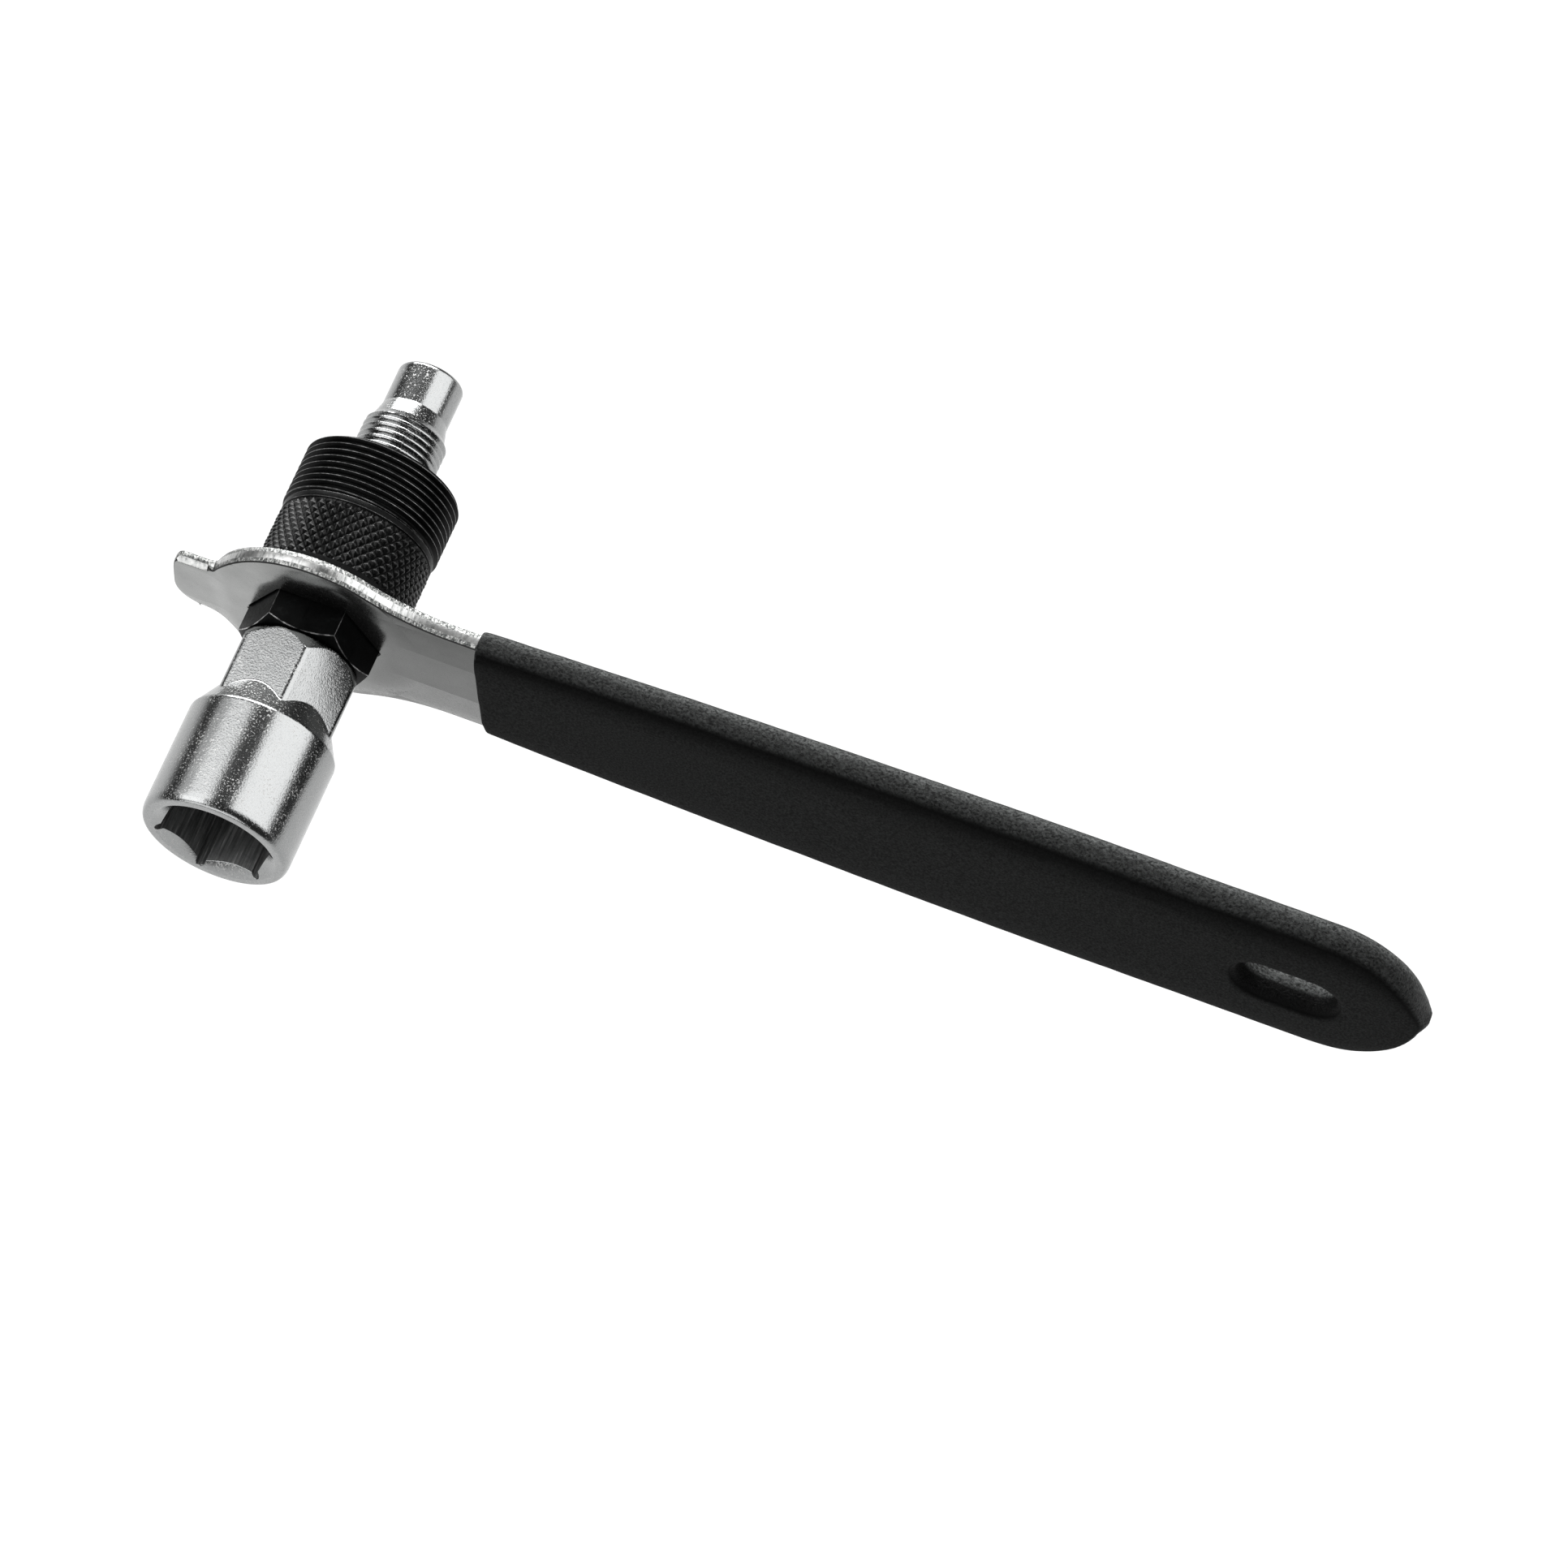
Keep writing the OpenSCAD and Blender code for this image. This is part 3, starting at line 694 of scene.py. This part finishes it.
# the stamped edge along the top of the nose
NOSE_EDGE = ((1.3, 0.0), (0.40, 0.0), (0.16, 0.07), (0.03, 0.32), (0.0, 0.6), (0.0, 0.9),
             (0.01, 1.15), (0.04, 1.35), (0.1, 1.42), (0.2, 1.54), (0.42, 1.84), (0.8, 2.42),
             (0.86, 2.49), (0.92, 2.55), (1.1, 2.6))
NOSE_MATERIAL = 2 * (SATIN,) + 6 * (SHEARED,) + 4 * (BURNISHED,) + 2 * (SATIN,)
# half the width across flats of the hole round the body's hexagon, and its bevel
HOLE_FLAT = 8.12
HOLE_BEVEL = 0.18
# the plate's slot is this much wider all round than the grip's
SLOT_ROOM = 1.15


def thinner(x, z):
    """The share of the thickness at x and z: the nose is pressed thinner than the head, and the
    step runs from the notch down to the hollow."""
    along = x + 14.0 - (5.6 - z) * 0.13
    return 1.0 - 0.42 * smoothstep(1.8, -1.8, along)


def plate_point(x, z, height):
    """height is in mm from the face on the barrel's side."""
    return at(x, PLATE_MID + (height - PLATE_T / 2) * thinner(x, z), z)


def inside(point, ring):
    """Whether a point lies in a closed outline."""
    x, z = point
    found = False
    for (ax, az), (bx, bz) in zip(ring, ring[1:] + ring[:1]):
        if (az > z) != (bz > z) and x < ax + (bx - ax) * (z - az) / (bz - az):
            found = not found
    return found


def clear(point, ring, gap):
    """Whether a point keeps away from the corners of an outline."""
    return all(math.hypot(point[0] - x, point[1] - z) > gap for x, z in ring)


def slot_outline(radius, steps):
    """The outline of the hanging slot, with that radius at both ends."""
    ring = arc(SLOT_RUN, 0, radius, -90, 90, steps) + arc(-SLOT_RUN, 0, radius, 90, 270, steps)
    return [(SLOT_X + x, z) for x, z in ring]


def hexagon_outline(flat, blunt=0.02):
    """A hexagon with a corner towards +X and its corners cut by a small angle."""
    r = flat / math.cos(TAU / 12 - blunt)
    turns = [TAU * k / 6 + e for k in range(6) for e in (-blunt, blunt)]
    return [(r * math.cos(a), r * math.sin(a)) for a in turns]


def cap(shell, ring, holes, height):
    """A flat face inside an outline with holes, with a grid of points where the nose bends."""
    nose = [(-19.6 + 0.45 * i, -9.5 + 0.5 * j) for i in range(24) for j in range(36)]
    extra = [p for p in nose
             if inside(p, ring) and clear(p, ring, 0.28) and math.hypot(*p) > 9.8]
    coords, edges = [], []
    for loop in (ring, *holes):
        base = len(coords)
        coords += loop
        edges += [(base + i, base + (i + 1) % len(loop)) for i in range(len(loop))]
    corners = [Vector(p) for p in coords + extra]
    points, _, triangles, _, _, _ = geometry.delaunay_2d_cdt(corners, edges, [], 1, 1e-5)
    base = len(shell.verts)
    shell.verts.extend(plate_point(p.x, p.y, height) for p in points)
    for triangle in triangles:
        middle = sum((points[i] for i in triangle), Vector((0, 0))) / len(triangle)
        if inside(middle, ring) and not any(inside(middle, hole) for hole in holes):
            shell.faces.append(tuple(base + i for i in triangle))
            shell.picks.append(SATIN)


def build_lever(satin, sheared, shadow, burnished):
    outline = plate_outline()
    shell = Shell()
    columns = []
    on_nose = []
    for i, (x, z) in enumerate(outline):
        normal = inward(outline, i)
        nose_top = smoothstep(-14.6, -15.4, x) * smoothstep(4.6, 5.2, z)
        on_nose.append(nose_top > 0.5)
        fall = NARROW + (1 - NARROW) * smoothstep(-13.5, -9.0, x)
        column = []
        for k, (inset, height) in enumerate(EDGE):
            if k >= FALL_ROW:
                inset *= fall
            inset += (NOSE_EDGE[k][0] - inset) * nose_top
            height += (NOSE_EDGE[k][1] - height) * nose_top
            column.append((x + normal.x * inset, z + normal.y * inset, height))
        columns.append(column)
    shell.grid([[plate_point(*p) for p in column] for column in columns],
               pick=lambda k, j: (NOSE_MATERIAL if on_nose[j] else EDGE_MATERIAL)[k])

    slot = slot_outline(SLOT_R + SLOT_ROOM, 12)
    shell.grid([[plate_point(x, z, h) for h in (0.0, PLATE_T)] for x, z in slot])
    hexagon = hexagon_outline(HOLE_FLAT)
    widen = 1 + HOLE_BEVEL / HOLE_FLAT
    wide = [(x * widen, z * widen) for x, z in hexagon]
    shell.grid([[plate_point(*outer, 0.0), plate_point(*inner, HOLE_BEVEL),
                 plate_point(*inner, PLATE_T - HOLE_BEVEL), plate_point(*outer, PLATE_T)]
                for inner, outer in zip(hexagon, wide)])
    for row in (0, len(EDGE) - 1):
        cap(shell, [column[row][:2] for column in columns], (wide, slot), EDGE[row][1])
    lever = new_object("steel_lever", shell, [satin, sheared, shadow, burnished], sharp=28,
                       weld=4e-6)
    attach(lever, "lever_group")
    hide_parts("lever")


# ---------- grip ----------

# length of the grip's round end, and how far the point where the dip ran off stands out
END_R = 13.8
NUB = 0.65
NUB_Z = 0.8
# how much thicker the dip is than the wall round the plate
SWELL = 0.44
# width and thickness of the grip at its open end, and how much they grow
GRIP_WIDTH, WIDTH_GROWTH = 22.2, 5.4
GRIP_THICK, THICK_GROWTH = 4.8, 0.8
# the open end leans by this much in mm
SLANT = 1.5
# points round the grip, steps along its straight part and degrees of its round end
SECTION_POINTS = 96
BODY_STEPS = 130
END_DEGREES = 84
# the slot's rim: (height over the middle towards the socket's side, widening)
SLOT_RIM = ((-6.0, 2.1), (-3.2, 0.62), (-1.6, 0.10), (0.0, 0.0), (1.2, 0.10), (2.0, 0.42),
            (2.6, 0.9), (3.2, 1.6), (6.0, 4.8))
# size of the even mesh in metres, and how often it is smoothed
VOXEL = 0.00048
SMOOTHING = 5


def flare(x):
    """How far the grip has widened at x, from 0 at its open end to 1."""
    grow = min(1.0, (x - GRIP_START) / (0.72 * (GRIP_END - GRIP_START)))
    return 1 - (1 - max(0.0, grow)) ** 1.7


def grip_section(x):
    """The ring of points round the grip at x: (height, distance from the plate's middle)."""
    past = max(0.0, (x - GRIP_END) / END_R)
    round_in = max(0.0, 1 - past ** 2) ** 0.54
    thin_out = 0.42 + 0.58 * math.sqrt(max(0.0, 1 - past ** 3))
    grow = flare(x)
    width = ((GRIP_WIDTH + WIDTH_GROWTH * grow) / 2 + SWELL * (1 + 0.8 * grow)) * round_in
    thick = ((GRIP_THICK + THICK_GROWTH * grow) / 2 + SWELL / 2) * thin_out
    ring = []
    for i in range(SECTION_POINTS):
        a = TAU * (i + 0.5) / SECTION_POINTS
        c, s = math.cos(a), math.sin(a)
        ring.append((width * math.copysign(abs(c) ** 0.42, c),
                     thick * math.copysign(abs(s) ** 0.62, s)))
    return ring


def grip_shell():
    """The closed surface of the grip without its slot."""
    shell = Shell()
    length = GRIP_END - GRIP_START
    stations = [GRIP_START + length * k / BODY_STEPS for k in range(BODY_STEPS + 1)]
    stations += [GRIP_END + END_R * math.sin(math.radians(k)) for k in range(1, END_DEGREES + 1)]
    columns = []
    for x in stations:
        slant = SLANT * smoothstep(GRIP_START + 10, GRIP_START, x)
        column = [at(x + slant * (0.42 - z / 22), PLATE_MID + t, z) for z, t in grip_section(x)]
        columns.append(column + column[:1])
    shell.grid(columns, closed=False)
    front = len(shell.verts)
    shell.verts.append(at(GRIP_START, PLATE_MID, 0))
    nub = len(shell.verts)
    shell.verts.append(at(GRIP_END + END_R + NUB, PLATE_MID, NUB_Z))
    last = (len(stations) - 1) * (SECTION_POINTS + 1)
    for i in range(SECTION_POINTS):
        shell.faces += [(front, i + 1, i), (nub, last + i, last + i + 1)]
        shell.picks += [0, 0]
    return shell


def slot_shell():
    """The body that cuts the hanging slot with its flared rims."""
    shell = Shell()
    columns = []
    for x, z in slot_outline(SLOT_R, 24):
        out = Vector((max(-SLOT_RUN, min(SLOT_RUN, x - SLOT_X)) + SLOT_X - x, -z)).normalized()
        columns.append([at(x - out.x * g, PLATE_MID + h, z - out.y * g) for h, g in SLOT_RIM])
    shell.grid(columns)
    for level in (0, len(SLOT_RIM) - 1):
        shell.faces.append(tuple(i * len(SLOT_RIM) + level for i in range(len(columns))))
        shell.picks.append(0)
    return shell


def build_grip(rubber):
    grip = new_object("dipped_grip", grip_shell(), [rubber], sharp=180)
    tool = new_object("slot_cutter", slot_shell(), [rubber])
    cut = grip.modifiers.new("slot", "BOOLEAN")
    cut.object = tool
    cut.operation = "DIFFERENCE"
    cut.solver = "EXACT"
    remesh = grip.modifiers.new("even", "REMESH")
    remesh.mode = "VOXEL"
    remesh.voxel_size = VOXEL
    soften = grip.modifiers.new("soften", "SMOOTH")
    soften.factor = 0.5
    soften.iterations = SMOOTHING
    graph = bpy.context.evaluated_depsgraph_get()
    mesh = bpy.data.meshes.new_from_object(grip.evaluated_get(graph))
    grip.modifiers.clear()
    grip.data = mesh
    bpy.data.objects.remove(tool)
    mesh.shade_smooth()

    # the dip's small waves, inwards only, and the point at its end
    bm = bmesh.new()
    bm.from_mesh(mesh)
    for v in bm.verts:
        x, z = v.co.x / MM, v.co.z / MM
        y = ORIGIN - v.co.y / MM - PLATE_MID
        wave = (noise.noise(Vector((x * 0.11, z * 0.5, y * 0.6))) * 0.10
                + noise.noise(Vector((x * 0.45, z * 0.45, y * 0.5 + 7))) * 0.035)
        edge = smoothstep(0.45, 0.95, abs(z) / 13.0)
        v.co -= v.normal * (0.05 + abs(wave) * edge) * MM * 0.6
        if x > GRIP_END + 9:
            pull = 0.6 * MM * math.exp(-((z - NUB_Z) ** 2 + y * y) / 5)
            v.co.x = min(v.co.x + pull, (GRIP_END + 14.5) * MM)
    bm.to_mesh(mesh)
    bm.free()
    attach(grip, "lever_group")
    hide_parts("grip")


# ---------- scene ----------

# the photograph's camera: tilt, turn and roll, distance from the tool in mm, the photograph's
# width and middle in pixels, its pixels for one mm at the tool, and the pixel where it shows
# the middle of the crank thread's end face
SIGHT = (math.radians(25.44), math.radians(8.87), math.radians(23.55))
DISTANCE = 1000.0
PHOTO_WIDTH = 1932
PHOTO_MIDDLE = PHOTO_WIDTH / 2
PIXELS_PER_MM = 9.313
ORIGIN_PIXEL = (472.67, 594.82)
SENSOR = 36


def sight_axes():
    """Unit vectors from the tool to the camera, and to the right and up in its picture."""
    tilt, turn, roll = SIGHT
    back = Vector((math.cos(tilt) * math.sin(turn), -math.sin(tilt),
                   math.cos(tilt) * math.cos(turn)))
    level = Vector((0, 1, 0)) - back * back.y
    level.normalize()
    side = (-back).cross(level)
    right = side * math.cos(roll) + level * math.sin(roll)
    up = level * math.cos(roll) - side * math.sin(roll)
    return back, right, up


def placed(name, data, place, across, up, out):
    """An object with these axes; a camera looks and a panel shines against out."""
    obj = bpy.data.objects.new(name, data)
    matrix = obj.matrix_world.to_3x3()
    for i in range(3):
        matrix[i] = (across[i], up[i], out[i])
    obj.matrix_world = matrix.to_4x4()
    obj.location = place
    bpy.context.scene.collection.objects.link(obj)
    return obj


def build_camera():
    back, right, up = sight_axes()
    x = (ORIGIN_PIXEL[0] - PHOTO_MIDDLE) / PIXELS_PER_MM
    y = -(ORIGIN_PIXEL[1] - PHOTO_MIDDLE) / PIXELS_PER_MM
    data = bpy.data.cameras.new("camera")
    data.sensor_width = SENSOR
    data.sensor_fit = "HORIZONTAL"
    data.lens = PIXELS_PER_MM * DISTANCE / PHOTO_WIDTH * SENSOR
    data.clip_start = 0.01
    place = (back * DISTANCE - right * x - up * y) * MM + Vector((0, ORIGIN * MM, 0))
    bpy.context.scene.camera = placed("camera", data, place, right, up, back)


def area_light(name, place, across, out, width, height, radiance):
    """A panel that shines against out, with its width along across and an even radiance."""
    data = bpy.data.lights.new(name, "AREA")
    data.shape = "RECTANGLE"
    data.size = width
    data.size_y = height
    data.energy = radiance * math.pi * width * height
    placed(name, data, place, across, out.cross(across), out)


# the side panels hang this far from the tool's axis and start here along Y, in metres
SIDE_DISTANCE = 0.56
SIDE_START = 0.02
# the free panels hang this far from the origin, in metres
FREE_DISTANCE = 0.68


def side_panel(name, degrees, end, width, radiance):
    """A panel parallel to the tool's axis up to end, that many degrees round it from the camera."""
    turn = SIGHT[1] + math.radians(degrees)
    out = Vector((math.sin(turn), 0, math.cos(turn)))
    across = Vector((math.cos(turn), 0, -math.sin(turn)))
    place = out * SIDE_DISTANCE + Vector((0, (SIDE_START + end) / 2, 0))
    area_light(name, place, across, out, width, end - SIDE_START, radiance)


# half the width of the floor, how far it lies below the tool, and the point under the tool from
# which its glow fades, all in metres
FLOOR_HALF = 4.0
FLOOR_DROP = 0.04
FLOOR_MIDDLE = (0.045, -0.015)


def build_floor():
    """A pale floor that glows evenly under the tool, as the photograph's white ground does."""
    low = -HEAD_R * MM - FLOOR_DROP
    shell = Shell()
    shell.verts = [(x * FLOOR_HALF, y * FLOOR_HALF, low)
                   for x, y in ((-1, -1), (1, -1), (1, 1), (-1, 1))]
    shell.faces = [(0, 1, 2, 3)]
    shell.picks = [0]
    mat, tree, bsdf = material("white_floor", Roughness=0.9, Base_Color=(0.12, 0.12, 0.12, 1),
                               Specular_IOR_Level=0.0, Emission_Color=(1, 1, 1, 1))
    length = tree.nodes.new("ShaderNodeVectorMath")
    length.operation = "DISTANCE"
    tree.links.new(coordinates(tree), length.inputs[0])
    length.inputs[1].default_value = (*FLOOR_MIDDLE, low)
    glow = remap(tree, length.outputs["Value"], 0.18, 0.60, 0.90, 0.15)
    tree.links.new(glow, bsdf.inputs["Emission Strength"])
    floor = new_object("floor", shell, [mat])


def build_light():
    world = bpy.data.worlds.new("studio")
    world.use_nodes = True
    background = world.node_tree.nodes["Background"]
    background.inputs["Color"].default_value = (0.035, 0.035, 0.035, 1)
    bpy.context.scene.world = world
    side_panel("right_softbox", 38, 0.60, 0.70, 2.6)
    side_panel("left_softbox", -44, 0.236, 0.37, 2.7)
    side_panel("left_fill", -71, 0.250, 0.18, 1.1)
    for name, out, width, height, radiance in (
            ("front_strip", (-0.14, -0.89, 0.43), 0.90, 0.46, 1.9),
            ("front_left", (-0.62, -0.25, 0.70), 0.50, 0.42, 3.0),
            ("back_panel", (-0.35, 0.80, 0.48), 0.80, 0.26, 12.0)):
        out = Vector(out).normalized()
        across = Vector((out.z, 0, -out.x)).normalized()
        area_light(name, out * FREE_DISTANCE, across, out, width, height, radiance)
    bpy.context.scene.view_settings.view_transform = "Standard"


chrome = chrome_material()
shadow = material("edge_shadow", Metallic=1.0, Roughness=0.5, Base_Color=(0.03, 0.03, 0.03, 1))[0]
build_camera()
build_floor()
build_light()
build_body(oxide_material("black_oxide_steel", 0.05, 0.28),
           oxide_material("knurled_oxide_steel", 0.22, 0.22),
           worn_material("worn_oxide_edge", 0.6, 0.42),
           worn_material("rubbed_oxide_crest", 0.3, 0.16))
build_spindle(chrome, hole_material())
build_lever(plate_material(), sheared_material(), shadow, burnished_material())
build_grip(grip_material())
